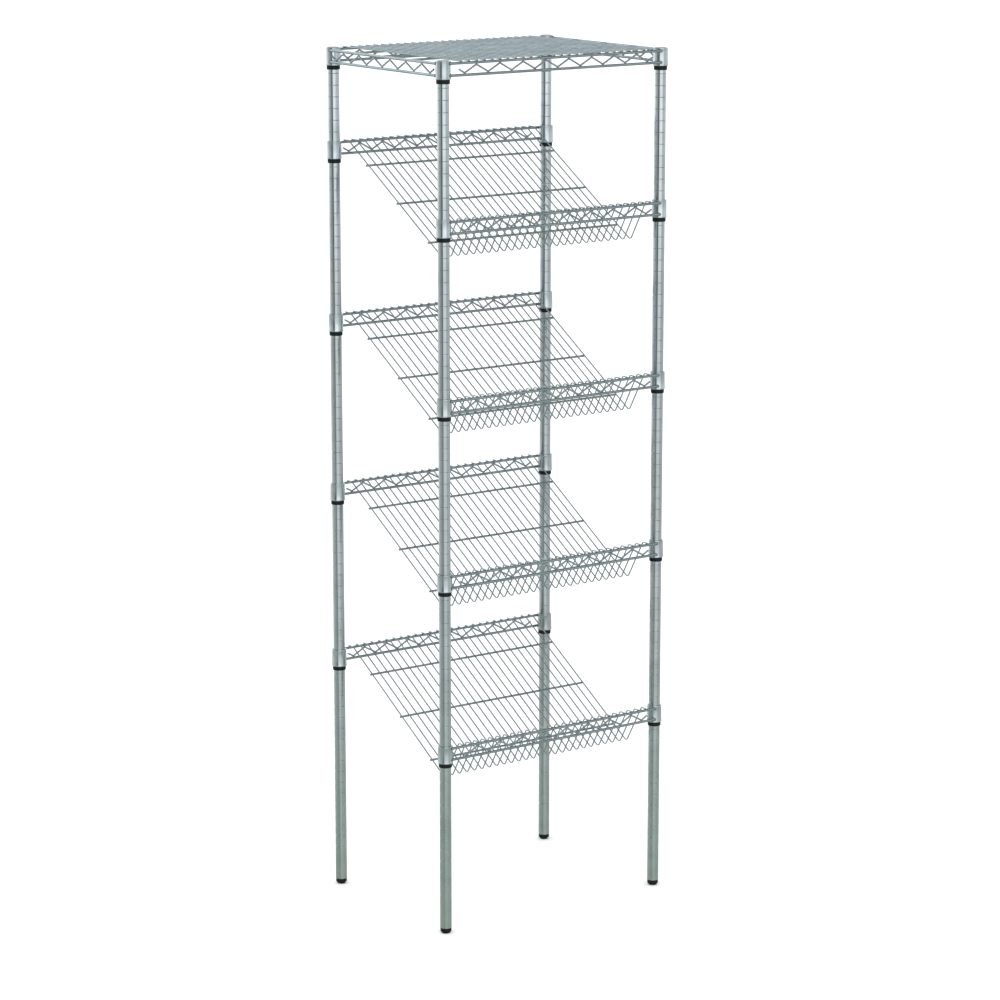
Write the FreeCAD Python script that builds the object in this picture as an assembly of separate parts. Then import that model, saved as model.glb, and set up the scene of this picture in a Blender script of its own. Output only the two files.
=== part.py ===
import FreeCAD, Part
import math
import os
from FreeCAD import Vector

# Bread rack: four grooved posts carry a flat top shelf and four slanted wire shelves.
# Millimetres. +X is to the right seen from the front, +Y is to the back, +Z is up.
# The origin is on the floor, midway between the four posts.

# posts
post_spacing_x = 572.0        # left to right, between post centres
post_spacing_y = 420.0        # front to back, between post centres
post_radius = 12.7
post_wall = 1.6
post_above_last_groove = 29.1
groove_pitch = 25.4
groove_width = 1.6            # at the surface; the floor of a groove is half as wide
groove_depth = 0.6
lowest_groove = 88.9          # height of groove number 1

# post caps
cap_head = 2.0                # thickness above the tube
cap_edge_chamfer = 1.0
cap_plug_length = 14.0
cap_plug_clearance = 0.1

# levelling feet
foot_height = 12.0
foot_inset = 0.5              # the pad is this much smaller in radius than the post
foot_sole_inset = 3.4         # the sole is this much smaller in radius than the pad
foot_sole_height = 3.0
foot_shoulder_height = 1.0    # slope from the sole out to the full radius
foot_to_post_gap = 0.3
stud_radius = 5.0
stud_seat_depth = 7.0         # how far the stud goes down into the pad
stud_reach = 20.0             # how far the stud goes up inside the post
stud_tip_chamfer = 1.0
stud_in_pad_clearance = 0.03
stud_seat_gap = 0.05          # under the end of the stud
stud_in_insert_clearance = 0.08
insert_length = 24.0
insert_clearance = 0.05       # insert to the inside of the tube

# split sleeves, one pair under each shelf corner
sleeve_post_clearance = 0.1
sleeve_flange_wall = 1.8
sleeve_flange_height = 9.0
sleeve_base_wall = 1.4        # at the top of the flange
sleeve_top_wall = 0.8
sleeve_band_height = 8.0      # the taper bears in the collar on a band at each end
sleeve_relief = 0.2           # the sleeve is this much smaller in radius between the bands
sleeve_below_collar_top = 2.5
sleeve_split_gap = 0.8        # between the halves, at the post
bead_above_flange_middle = 12.7
bead_groove_clearance = 0.2

# shelf collars
collar_gap = 0.3              # between the sleeve flange and the collar
collar_above_rail = 2.5       # collar edge to the top of the upper rail
collar_wall = 2.5
collar_sleeve_clearance = 0.2

# where the shelves sit, in grooves
lowest_shelf_groove_count = 13      # grooves up to the front of the lowest shelf
groove_count_between_shelves = 15
slant_groove_count = 5              # the back of a slanted shelf is this many grooves higher
slanted_shelf_count = 4
groove_count_to_top_shelf = 8       # from the back of the highest slanted shelf

# trusses
rail_radius = 3.0
zigzag_radius = 2.0
rail_outset = 12.5            # rails run this far outside the line of post centres
lower_rail_height = 12.5      # above the middle of the sleeve flange
rail_distance = 25.0          # lower rail to upper rail
zigzag_leg_angle = 28.5       # degrees from level
zigzag_bend_radius = 5.0
zigzag_end_space = 1.0        # least distance from the end of a zigzag to a collar
weld_gap = 0.05               # between wires that are welded to each other

# deck
deck_wire_radius = 1.5
deck_wire_pitch = 20.0
deck_to_collar_space = 12.0   # least distance from the deck to a collar
deck_wire_overhang = 1.5      # past the outer side of the rail it is welded on
cross_wire_radius = 2.4
cross_wire_overhang = 2.5     # past the outermost deck wire

# slanted deck
stop_length = 105.6           # front stop, square to the slope, from its corner up to the front lip
front_lip_length = 17.6
back_lip_length = 19.9
stop_bend_radius = 8.0
lip_bend_radius = 5.0
first_cross_wire = 59.0       # from the deck corner, along the slope
last_cross_wire = 87.4        # from the back lip, along the slope
slanted_cross_wire_count = 3

# flat deck
top_cross_wire_count = 3      # evenly spread between the front and back posts

UP = Vector(0, 0, 1)
RIGHT = Vector(1, 0, 0)
BACK = Vector(0, 1, 0)

post_x = post_spacing_x / 2
post_y = post_spacing_y / 2
rail_x = post_x + rail_outset
rail_y = post_y + rail_outset
deck_end_y = rail_y + rail_radius + deck_wire_overhang
post_bottom = foot_height + foot_to_post_gap
tube_inner_radius = post_radius - post_wall
foot_radius = post_radius - foot_inset
upper_rail_height = lower_rail_height + rail_distance
deck_on_rail = rail_radius + deck_wire_radius + weld_gap
sleeve_inner_radius = post_radius + sleeve_post_clearance
sleeve_flange_radius = sleeve_inner_radius + sleeve_flange_wall
collar_bottom = sleeve_flange_height / 2 + collar_gap
collar_top = upper_rail_height + rail_radius + collar_above_rail
sleeve_top = collar_top - sleeve_below_collar_top
zigzag_angle = math.radians(zigzag_leg_angle)
highest_slanted_shelf_groove = (lowest_shelf_groove_count
                                + (slanted_shelf_count - 1) * groove_count_between_shelves)
top_shelf_groove = highest_slanted_shelf_groove + slant_groove_count + groove_count_to_top_shelf
post_places = {
    "front_left": Vector(-post_x, -post_y, 0),
    "front_right": Vector(post_x, -post_y, 0),
    "back_left": Vector(-post_x, post_y, 0),
    "back_right": Vector(post_x, post_y, 0),
}


def groove_height(number):
    return lowest_groove + (number - 1) * groove_pitch


def flange_height_for_groove(number):
    """Height of the middle of a sleeve flange whose bead sits in this groove."""
    return groove_height(number) - bead_above_flange_middle


post_top = groove_height(top_shelf_groove) + post_above_last_groove


def revolve_profile(points, angle=360):
    """Solid of revolution about the Z axis from (radius, height) points, turned on from +X."""
    outline = [Vector(radius, 0, height) for radius, height in points]
    outline.append(outline[0])
    return Part.Face(Part.makePolygon(outline)).revolve(Vector(0, 0, 0), UP, angle)


def at_each(places, shape):
    return [shape.translated(place) for place in places]


def export(name, solids):
    shape = solids[0] if len(solids) == 1 else Part.makeCompound(solids)
    shape.exportStep(os.path.join("parts", name + ".step"))


# ---- posts, caps and feet ----

def make_post():
    """Tube with a shallow groove at every position where a sleeve can sit."""
    points = [(tube_inner_radius, post_bottom), (post_radius, post_bottom)]
    for number in range(1, top_shelf_groove + 1):
        middle = groove_height(number)
        points.append((post_radius, middle - groove_width / 2))
        points.append((post_radius - groove_depth, middle - groove_width / 4))
        points.append((post_radius - groove_depth, middle + groove_width / 4))
        points.append((post_radius, middle + groove_width / 2))
    points += [(post_radius, post_top), (tube_inner_radius, post_top)]
    return revolve_profile(points)


def make_post_cap():
    plug_radius = tube_inner_radius - cap_plug_clearance
    head_top = post_top + cap_head
    return revolve_profile([
        (0, post_top - cap_plug_length),
        (plug_radius, post_top - cap_plug_length),
        (plug_radius, post_top),
        (post_radius, post_top),
        (post_radius, head_top - cap_edge_chamfer),
        (post_radius - cap_edge_chamfer, head_top),
        (0, head_top),
    ])


def make_foot_insert():
    outer = tube_inner_radius - insert_clearance
    bore = stud_radius + stud_in_insert_clearance
    body = Part.makeCylinder(outer, insert_length, Vector(0, 0, post_bottom))
    return body.cut(Part.makeCylinder(bore, insert_length, Vector(0, 0, post_bottom)))


def make_foot_pad():
    seat_bottom = foot_height - stud_seat_depth - stud_seat_gap
    seat_radius = stud_radius + stud_in_pad_clearance
    return revolve_profile([
        (0, 0),
        (foot_radius - foot_sole_inset, 0),
        (foot_radius - foot_sole_inset, foot_sole_height),
        (foot_radius, foot_sole_height + foot_shoulder_height),
        (foot_radius, foot_height),
        (seat_radius, foot_height),
        (seat_radius, seat_bottom),
        (0, seat_bottom),
    ])


def make_foot_stud():
    bottom = foot_height - stud_seat_depth
    top = post_bottom + stud_reach
    return revolve_profile([
        (0, bottom),
        (stud_radius, bottom),
        (stud_radius, top - stud_tip_chamfer),
        (stud_radius - stud_tip_chamfer, top),
        (0, top),
    ])


# ---- split sleeves and collars, both about the Z axis with the flange middle at zero ----

def sleeve_radius_at(height):
    """Outside radius of the sleeve's taper at a height above the flange middle."""
    taper_start = sleeve_flange_height / 2
    share = (height - taper_start) / (sleeve_top - taper_start)
    return sleeve_inner_radius + sleeve_base_wall + share * (sleeve_top_wall - sleeve_base_wall)


def make_sleeve_halves():
    """Two halves of a sleeve with two tapered bands, and a bead inside that sits in a post groove."""
    flange_top = sleeve_flange_height / 2
    low_band_top = flange_top + sleeve_band_height
    high_band_bottom = sleeve_top - sleeve_band_height
    waist_radius = sleeve_radius_at(high_band_bottom) - sleeve_relief
    bead_inner_radius = post_radius - groove_depth + bead_groove_clearance
    split_angle = math.degrees(sleeve_split_gap / sleeve_inner_radius)
    half = revolve_profile([
        (sleeve_inner_radius, -flange_top),
        (sleeve_flange_radius, -flange_top),
        (sleeve_flange_radius, flange_top),
        (sleeve_radius_at(flange_top), flange_top),
        (sleeve_radius_at(low_band_top), low_band_top),
        (waist_radius, low_band_top),
        (waist_radius, high_band_bottom),
        (sleeve_radius_at(high_band_bottom), high_band_bottom),
        (sleeve_radius_at(sleeve_top), sleeve_top),
        (sleeve_inner_radius, sleeve_top),
        (sleeve_inner_radius, bead_above_flange_middle + groove_width / 2),
        (bead_inner_radius, bead_above_flange_middle + groove_width / 4),
        (bead_inner_radius, bead_above_flange_middle - groove_width / 4),
        (sleeve_inner_radius, bead_above_flange_middle - groove_width / 2),
    ], 180 - split_angle)
    return [half.rotated(Vector(0, 0, 0), UP, turn + split_angle / 2) for turn in (0, 180)]


def collar_radii(grow):
    """Outside radii of a collar at its bottom and its top, grown by a clearance."""
    outside = collar_sleeve_clearance + collar_wall + grow
    low = sleeve_radius_at(collar_bottom) + outside
    high = sleeve_radius_at(collar_top) + outside
    return low, high


def collar_half_chord(outset):
    """Half width of a collar's bottom edge along a line this far from the post centre."""
    low, _ = collar_radii(0)
    return math.sqrt(low ** 2 - outset ** 2)


def make_collar():
    low, high = collar_radii(0)
    return revolve_profile([
        (low - collar_wall, collar_bottom),
        (low, collar_bottom),
        (high, collar_top),
        (high - collar_wall, collar_top),
    ])


def make_collar_envelope():
    """Solid cone that trims the rails, a weld gap outside the collar."""
    low, high = collar_radii(weld_gap)
    return Part.makeCone(low, high, collar_top - collar_bottom, Vector(0, 0, collar_bottom))


# ---- wires ----

def straight_wire(radius, start, end):
    run = end - start
    return Part.makeCylinder(radius, run.Length, start, run)


def bent_wire(radius, corners, bend_radii):
    """Round wire along straight runs, with a tangent arc of the given radius at each inner corner."""
    edges = []
    start = corners[0]
    for corner, following, bend in zip(corners[1:-1], corners[2:], bend_radii):
        into = (corner - start).normalize()
        out = (following - corner).normalize()
        turn = into.getAngle(out)
        setback = bend * math.tan(turn / 2)
        arc_start = corner - into * setback
        arc_end = corner + out * setback
        to_middle = (out - into).normalize()
        arc_middle = corner + to_middle * (bend / math.cos(turn / 2) - bend)
        edges.append(Part.LineSegment(start, arc_start).toShape())
        edges.append(Part.Arc(arc_start, arc_middle, arc_end).toShape())
        start = arc_end
    edges.append(Part.LineSegment(start, corners[-1]).toShape())
    section = Part.Wire(Part.makeCircle(radius, corners[0], corners[1] - corners[0]))
    return Part.Wire(edges).makePipeShell([section], True, False)


def make_zigzag(post_spacing, along):
    """Zigzag wire that fills a truss between two posts: as many bends as fit, ends at mid height."""
    bend_reach = rail_distance / 2 - rail_radius - weld_gap - zigzag_radius
    corner_reach = bend_reach + zigzag_bend_radius * (1 / math.cos(zigzag_angle) - 1)
    half_pitch = 2 * corner_reach / math.tan(zigzag_angle)
    end_space = collar_half_chord(rail_outset - zigzag_radius) + zigzag_end_space
    bend_count = int(((post_spacing - 2 * end_space) / half_pitch + 1) / 2)
    middle = lower_rail_height + rail_distance / 2
    first = -(bend_count - 1) * half_pitch
    corners = [along * (first - half_pitch / 2) + UP * middle]
    for step in range(2 * bend_count - 1):
        side = -1 if step % 2 == 0 else 1
        corners.append(along * (first + step * half_pitch) + UP * (middle + side * corner_reach))
    corners.append(along * (-first + half_pitch / 2) + UP * middle)
    return bent_wire(zigzag_radius, corners, [zigzag_bend_radius] * (len(corners) - 2))


def make_rails(reach, along, collar_offset):
    """Lower and upper rail of a truss, trimmed to fit against the collars at both ends."""
    envelope = make_collar_envelope()
    rails = []
    for height in (lower_rail_height, upper_rail_height):
        rail = straight_wire(rail_radius, along * -reach + UP * height, along * reach + UP * height)
        for side in (-1, 1):
            rail = rail.cut(envelope.translated(along * (side * reach) + collar_offset))
        rails.append(rail.Solids[0])
    return rails


def deck_wire_places():
    """As many evenly spaced deck wires as fit between the left and right collars."""
    collar_radius, _ = collar_radii(0)
    free_width = 2 * (post_x - collar_radius - deck_to_collar_space - cross_wire_overhang)
    count = int(free_width / deck_wire_pitch) + 1
    first = -(count - 1) * deck_wire_pitch / 2
    return [Vector(first + index * deck_wire_pitch, 0, 0) for index in range(count)]


# ---- slanted shelf, with the middle of its front sleeve flanges at zero height ----

shelf_drop = slant_groove_count * groove_pitch
front_wire_end = Vector(0, -deck_end_y, upper_rail_height + deck_on_rail)
back_wire_end = Vector(0, deck_end_y, upper_rail_height + deck_on_rail + shelf_drop)
front_lip = front_wire_end + BACK * front_lip_length
back_lip = back_wire_end - BACK * back_lip_length
lip_to_lip = back_lip - front_lip
slant = math.atan2(lip_to_lip.z, lip_to_lip.y) + math.asin(stop_length / lip_to_lip.Length)
up_slope = Vector(0, math.cos(slant), math.sin(slant))
off_slope = Vector(0, -math.sin(slant), math.cos(slant))
deck_corner = front_lip - off_slope * stop_length
slope_length = (back_lip - deck_corner).Length


def make_slanted_deck_wire():
    """Wire from the back rail down the slope, up the front stop and over the front rail."""
    corners = [back_wire_end, back_lip, deck_corner, front_lip, front_wire_end]
    return bent_wire(deck_wire_radius, corners, [lip_bend_radius, stop_bend_radius, lip_bend_radius])


def make_slanted_cross_wires():
    below_deck = off_slope * (deck_wire_radius + weld_gap + cross_wire_radius)
    half = RIGHT * (deck_wire_places()[-1].x + cross_wire_overhang)
    pitch = (slope_length - first_cross_wire - last_cross_wire) / (slanted_cross_wire_count - 1)
    wires = []
    for index in range(slanted_cross_wire_count):
        middle = deck_corner + up_slope * (first_cross_wire + index * pitch) - below_deck
        wires.append(straight_wire(cross_wire_radius, middle - half, middle + half))
    return wires


def make_slanted_shelf():
    """Solids of one slanted shelf by sub-part name."""
    rise = UP * shelf_drop
    front = BACK * -rail_y
    back = BACK * rail_y + rise
    front_rails = make_rails(post_x, RIGHT, BACK * rail_outset)
    back_rails = make_rails(post_x, RIGHT, BACK * -rail_outset)
    zigzag = make_zigzag(post_spacing_x, RIGHT)
    collar_places = [place + (rise if place.y > 0 else UP * 0) for place in post_places.values()]
    return {
        "collars": at_each(collar_places, make_collar()),
        "front_rails": [rail.translated(front) for rail in front_rails],
        "back_rails": [rail.translated(back) for rail in back_rails],
        "front_zigzag": [zigzag.translated(front)],
        "back_zigzag": [zigzag.translated(back)],
        "deck_wires": at_each(deck_wire_places(), make_slanted_deck_wire()),
        "cross_wires": make_slanted_cross_wires(),
    }


# ---- flat top shelf, with the middle of its sleeve flanges at zero height ----

def make_flat_deck_wire():
    height = UP * (upper_rail_height + deck_on_rail)
    return straight_wire(deck_wire_radius, BACK * -deck_end_y + height, BACK * deck_end_y + height)


def make_flat_cross_wires():
    """Wires under the deck that end against the upper side rails."""
    below_deck = deck_wire_radius + weld_gap + cross_wire_radius
    height = UP * (upper_rail_height + deck_on_rail - below_deck)
    half = RIGHT * (rail_x - rail_radius - weld_gap)
    pitch = post_spacing_y / (top_cross_wire_count + 1)
    wires = []
    for index in range(top_cross_wire_count):
        middle = BACK * (-post_y + (index + 1) * pitch) + height
        wires.append(straight_wire(cross_wire_radius, middle - half, middle + half))
    return wires


def make_top_shelf():
    """Solids of the flat shelf by sub-part name."""
    long_zigzag = make_zigzag(post_spacing_x, RIGHT)
    side_zigzag = make_zigzag(post_spacing_y, BACK)
    parts = {
        "collars": at_each(post_places.values(), make_collar()),
        "deck_wires": at_each(deck_wire_places(), make_flat_deck_wire()),
        "cross_wires": make_flat_cross_wires(),
    }
    for name, side in (("front", -1), ("back", 1)):
        place = BACK * (side * rail_y)
        rails = make_rails(post_x, RIGHT, BACK * (-side * rail_outset))
        parts[name + "_rails"] = [rail.translated(place) for rail in rails]
        parts[name + "_zigzag"] = [long_zigzag.translated(place)]
    for name, side in (("left", -1), ("right", 1)):
        place = RIGHT * (side * rail_x)
        rails = make_rails(post_y, BACK, RIGHT * (-side * rail_outset))
        parts[name + "_rails"] = [rail.translated(place) for rail in rails]
        parts[name + "_zigzag"] = [side_zigzag.translated(place)]
    return parts


# ---- the whole rack ----

def export_posts():
    post = make_post()
    pad = make_foot_pad()
    stud = make_foot_stud()
    for corner, place in post_places.items():
        export("post_" + corner, [post.translated(place)])
        export("foot_pad_" + corner, [pad.translated(place)])
        export("foot_stud_" + corner, [stud.translated(place)])
    export("post_caps", at_each(post_places.values(), make_post_cap()))
    export("foot_inserts", at_each(post_places.values(), make_foot_insert()))


def export_sleeves(name, front_groove, back_groove):
    halves = make_sleeve_halves()
    sleeves = []
    for place in post_places.values():
        groove = back_groove if place.y > 0 else front_groove
        corner = place + UP * flange_height_for_groove(groove)
        sleeves += [half.translated(corner) for half in halves]
    export(name + "_sleeves", sleeves)


def export_shelf(name, parts, front_groove):
    height = UP * flange_height_for_groove(front_groove)
    for part, solids in parts.items():
        export(name + "_" + part, [solid.translated(height) for solid in solids])


def main():
    os.makedirs("parts", exist_ok=True)
    export_posts()
    slanted_shelf = make_slanted_shelf()
    for index in range(slanted_shelf_count):
        name = "slanted_shelf_" + str(index + 1)
        groove = lowest_shelf_groove_count + index * groove_count_between_shelves
        export_shelf(name, slanted_shelf, groove)
        export_sleeves(name, groove, groove + slant_groove_count)
    export_shelf("top_shelf", make_top_shelf(), top_shelf_groove)
    export_sleeves("top_shelf", top_shelf_groove, top_shelf_groove)


main()
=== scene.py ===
import math
import bpy
from mathutils import Matrix, Vector


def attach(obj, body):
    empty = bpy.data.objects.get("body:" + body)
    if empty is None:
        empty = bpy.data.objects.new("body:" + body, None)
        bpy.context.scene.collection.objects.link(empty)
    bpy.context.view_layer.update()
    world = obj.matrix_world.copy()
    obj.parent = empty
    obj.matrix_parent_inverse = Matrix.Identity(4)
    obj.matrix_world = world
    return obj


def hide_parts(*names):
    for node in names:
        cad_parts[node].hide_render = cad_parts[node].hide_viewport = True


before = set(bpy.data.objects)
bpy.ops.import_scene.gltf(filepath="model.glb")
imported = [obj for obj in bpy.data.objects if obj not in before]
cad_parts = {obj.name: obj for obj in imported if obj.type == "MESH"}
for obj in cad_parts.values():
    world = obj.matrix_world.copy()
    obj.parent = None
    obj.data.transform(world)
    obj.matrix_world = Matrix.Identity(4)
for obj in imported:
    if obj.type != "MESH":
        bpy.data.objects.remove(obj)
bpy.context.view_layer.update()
print("frame loaded,", len(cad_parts), "nodes")

mm = 0.001
creaseAngle = math.radians(38)   # edges sharper than this stay sharp
bendSteps = 6                    # steps that round a bend of a wire

# where things stand on the rack, in millimetres
rack = {
    "postX": 286.0,              # post centres, left and right of the middle
    "postY": 210.0,              # post centres, in front of and behind the middle
    "lowestShelf": 381.0,        # middle of the front sleeve flanges of the lowest slanted shelf
    "shelfStep": 381.0,
    "slantedShelves": 4,
    "slantRise": 127.0,          # back of a slanted shelf above its front
    "topShelf": 1854.2,
    "railOutset": 12.5,          # rails run outside the line of the posts
    "lowerRail": 12.5,           # above the flange middle
    "upperRail": 37.5,
    "railRadius": 3.0,
    "weldGap": 0.05,             # between pieces that are welded to each other
}
railX = rack["postX"] + rack["railOutset"]
railY = rack["postY"] + rack["railOutset"]
shelfLevels = [rack["lowestShelf"] + i * rack["shelfStep"] for i in range(rack["slantedShelves"])]
postPlaces = {
    "front_left": (-rack["postX"], -rack["postY"]),
    "front_right": (rack["postX"], -rack["postY"]),
    "back_left": (-rack["postX"], rack["postY"]),
    "back_right": (rack["postX"], rack["postY"]),
}


# small helpers

def srgb(hexText):
    channels = [int(hexText[i:i + 2], 16) / 255 for i in (1, 3, 5)]
    linear = [c / 12.92 if c <= 0.04045 else ((c + 0.055) / 1.055) ** 2.4 for c in channels]
    return (*linear, 1.0)


def addObject(name, data):
    thing = bpy.data.objects.new(name, data)
    bpy.context.scene.collection.objects.link(thing)
    return thing


def dress(piece, body, slot, *nodes):
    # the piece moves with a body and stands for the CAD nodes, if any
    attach(piece, body)
    if nodes:
        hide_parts(*nodes)


def addNode(tree, kind, values=None):
    # a socket is linked to the input of that name, and anything else is set
    node = tree.nodes.new(kind)
    for name, value in (values or {}).items():
        if isinstance(value, bpy.types.NodeSocket):
            tree.links.new(value, node.inputs[name])
        elif isinstance(name, str) and hasattr(node, name):
            setattr(node, name, value)
        else:
            node.inputs[name].default_value = value
    return node


def mathIn(tree):
    # arithmetic on numbers and sockets of one tree
    def calc(operation, *values):
        return addNode(tree, "ShaderNodeMath", {"operation": operation, **dict(enumerate(values))}).outputs[0]
    return calc


def blend(tree, share, first, second):
    return addNode(tree, "ShaderNodeMix", {"data_type": "RGBA", 0: share, 6: first, 7: second}).outputs[2]


def mapRange(tree, source, fromRange, toRange=(0.0, 1.0)):
    return addNode(tree, "ShaderNodeMapRange", {
        "From Min": fromRange[0], "From Max": fromRange[1], "To Min": toRange[0], "To Max": toRange[1],
        "Value": source}).outputs[0]


def noise(tree, place, width, detail, roughness=0.5):
    # cloudy pattern with forms of this width in millimetres
    return addNode(tree, "ShaderNodeTexNoise", {
        "Scale": 1 / (width * mm), "Detail": detail, "Roughness": roughness, "Vector": place}).outputs["Fac"]


def voronoi(tree, place, width):
    return addNode(tree, "ShaderNodeTexVoronoi", {"Scale": 1 / (width * mm), "Vector": place}).outputs["Distance"]


def newTree(name, sizes):
    tree = bpy.data.node_groups.new(name, "GeometryNodeTree")
    tree.interface.new_socket("Geometry", in_out="INPUT", socket_type="NodeSocketGeometry")
    for label, kind in sizes.items():
        tree.interface.new_socket(label, in_out="INPUT", socket_type="NodeSocket" + kind)
    tree.interface.new_socket("Geometry", in_out="OUTPUT", socket_type="NodeSocketGeometry")
    return tree, tree.nodes.new("NodeGroupInput").outputs


def closeTree(tree, geometry, material):
    whole = addNode(tree, "GeometryNodeRealizeInstances", {"Geometry": geometry})
    painted = addNode(tree, "GeometryNodeSetMaterial", {"Geometry": whole.outputs[0], "Material": material})
    addNode(tree, "NodeGroupOutput", {0: painted.outputs[0]})
    return tree


def growPiece(name, tree, sizes, seedMesh=None):
    # runs the tree on the seed mesh and keeps the result as a plain mesh
    piece = addObject(name, seedMesh or bpy.data.meshes.new(name + "Seed"))
    modifier = piece.modifiers.new("grow", "NODES")
    modifier.node_group = tree
    sockets = {s.name: s.identifier for s in tree.interface.items_tree if s.in_out == "INPUT"}
    for label, value in sizes.items():
        modifier[sockets[label]] = value
    graph = bpy.context.evaluated_depsgraph_get()
    mesh = bpy.data.meshes.new_from_object(piece.evaluated_get(graph), depsgraph=graph)
    piece.modifiers.remove(modifier)
    piece.data = mesh
    mesh.name = name
    finishMesh(mesh)
    return piece


def finishMesh(mesh):
    if signedVolume(mesh) < 0:
        mesh.flip_normals()
    mesh.shade_smooth()
    mesh.set_sharp_from_angle(angle=creaseAngle)


def signedVolume(mesh):
    mesh.calc_loop_triangles()
    points = [v.co for v in mesh.vertices]
    return sum(points[a].dot(points[b].cross(points[c])) for a, b, c in (t.vertices for t in mesh.loop_triangles))


def joinPieces(name, pieces):
    with bpy.context.temp_override(active_object=pieces[0], selected_editable_objects=pieces):
        bpy.ops.object.join()
    pieces[0].name = name
    pieces[0].data.name = name
    return pieces[0]


def turnedMesh(name, profile, sides, fromDegrees=0.0, toDegrees=360.0):
    # profile is a closed loop of (radius, height) in millimetres, a radius of 0 lies on the axis
    whole = toDegrees - fromDegrees >= 360.0
    steps = sides if whole else sides + 1
    angles = [math.radians(fromDegrees + (toDegrees - fromDegrees) * i / sides) for i in range(steps)]
    verts, rings = [], []
    for radius, height in profile:
        if radius == 0.0:
            verts.append((0.0, 0.0, height * mm))
            rings.append([len(verts) - 1] * steps)
            continue
        rings.append(list(range(len(verts), len(verts) + steps)))
        verts += [(radius * mm * math.cos(a), radius * mm * math.sin(a), height * mm) for a in angles]
    faces = []
    for lower, upper in zip(rings, rings[1:] + rings[:1]):
        if lower[0] == lower[-1] and upper[0] == upper[-1]:
            continue  # an edge along the axis makes no face
        for i in range(sides):
            j = (i + 1) % steps
            quad = [lower[i], lower[j], upper[j], upper[i]]
            faces.append([v for k, v in enumerate(quad) if v not in quad[:k]])
    if not whole:
        faces.append([ring[0] for ring in rings])
        faces.append([ring[-1] for ring in reversed(rings)])
    mesh = bpy.data.meshes.new(name)
    mesh.from_pydata(verts, [], faces)
    mesh.validate()
    return mesh


def softCorners(profile, radius, steps=3, edgeShare=0.45):
    # rounds each corner of a closed loop of (radius, height) points, apart from those on the axis,
    # and takes no more than edgeShare of the edges beside it
    rounded = []
    for index, (r, z) in enumerate(profile):
        if r == 0.0:
            rounded.append((r, z))
            continue
        corner = Vector((r, z))
        before = Vector(profile[index - 1]) - corner
        after = Vector(profile[(index + 1) % len(profile)]) - corner
        reach = min(radius, before.length * edgeShare, after.length * edgeShare)
        start = corner + before.normalized() * reach
        end = corner + after.normalized() * reach
        for step in range(steps + 1):
            t = step / steps
            point = start * (1 - t) ** 2 + corner * 2 * t * (1 - t) + end * t ** 2
            rounded.append((point.x, point.y))
    return rounded


# materials

def newSurface(name, settings):
    # a Principled surface with constants on its own sockets
    material = bpy.data.materials.new(name)
    material.use_nodes = True
    tree = material.node_tree
    for label, value in settings.items():
        tree.nodes["Principled BSDF"].inputs[label].default_value = value
    return material, tree


def closeSurface(material, colour, roughness, height, strength, depth):
    # height is a relief, as deep as depth says
    tree = material.node_tree
    bump = addNode(tree, "ShaderNodeBump", {"Strength": strength, "Distance": depth, "Height": height})
    for label, source in (("Base Color", colour), ("Roughness", roughness), ("Normal", bump.outputs[0])):
        tree.links.new(source, tree.nodes["Principled BSDF"].inputs[label])
    return material


chromePlate = {
    "haze": "#B8BBBB",           # thinner plate over the nickel, a little duller
    "hazeRange": (0.42, 0.70),   # part of the clouds that turns hazy
    "cloud": 45.0,               # mm, size of the hazy clouds that polishing leaves
    "dullRange": (0.35, 0.75),   # part of the clouds that turns rougher
    "roughnessSpread": 0.05,
    "line": 0.35,                # mm, spacing of the polishing lines, drawn coarser than real so that it shows
    "lineDepth": 0.02,           # mm
    "lineStrength": 0.06,
    "speck": 2.6,                # mm, spacing of dust and water specks
    "speckRange": (0.05, 0.11),  # share of the spacing that a speck covers, edge included
    "dust": "#8F9493",
    "dustShare": 0.35,
    "grooveShadeTone": "#3E4644",          # painted shade in the rolled grooves
    "grooveShadeShare": 0.12,
    "grooveRoughness": 0.15,
}
chromeKinds = {                  # roughness, colour, and how the polishing lines are squeezed along X, Y and Z
    "polishedChromeTube": (0.09, "#C6C8C8", (0.06, 0.06, 1.0)),    # chromium reflects about 55%, faintly cold
    "pressedChromeCollar": (0.10, "#CACECF", (0.06, 0.06, 1.0)),   # turned pieces have lines that run round them
    "drawnChromeWireX": (0.18, "#A1A9AF", (0.02, 1.0, 1.0)),       # the die leaves lines along a drawn wire
    "drawnChromeWireY": (0.18, "#A1A9AF", (1.0, 0.02, 1.0)),
}


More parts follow.
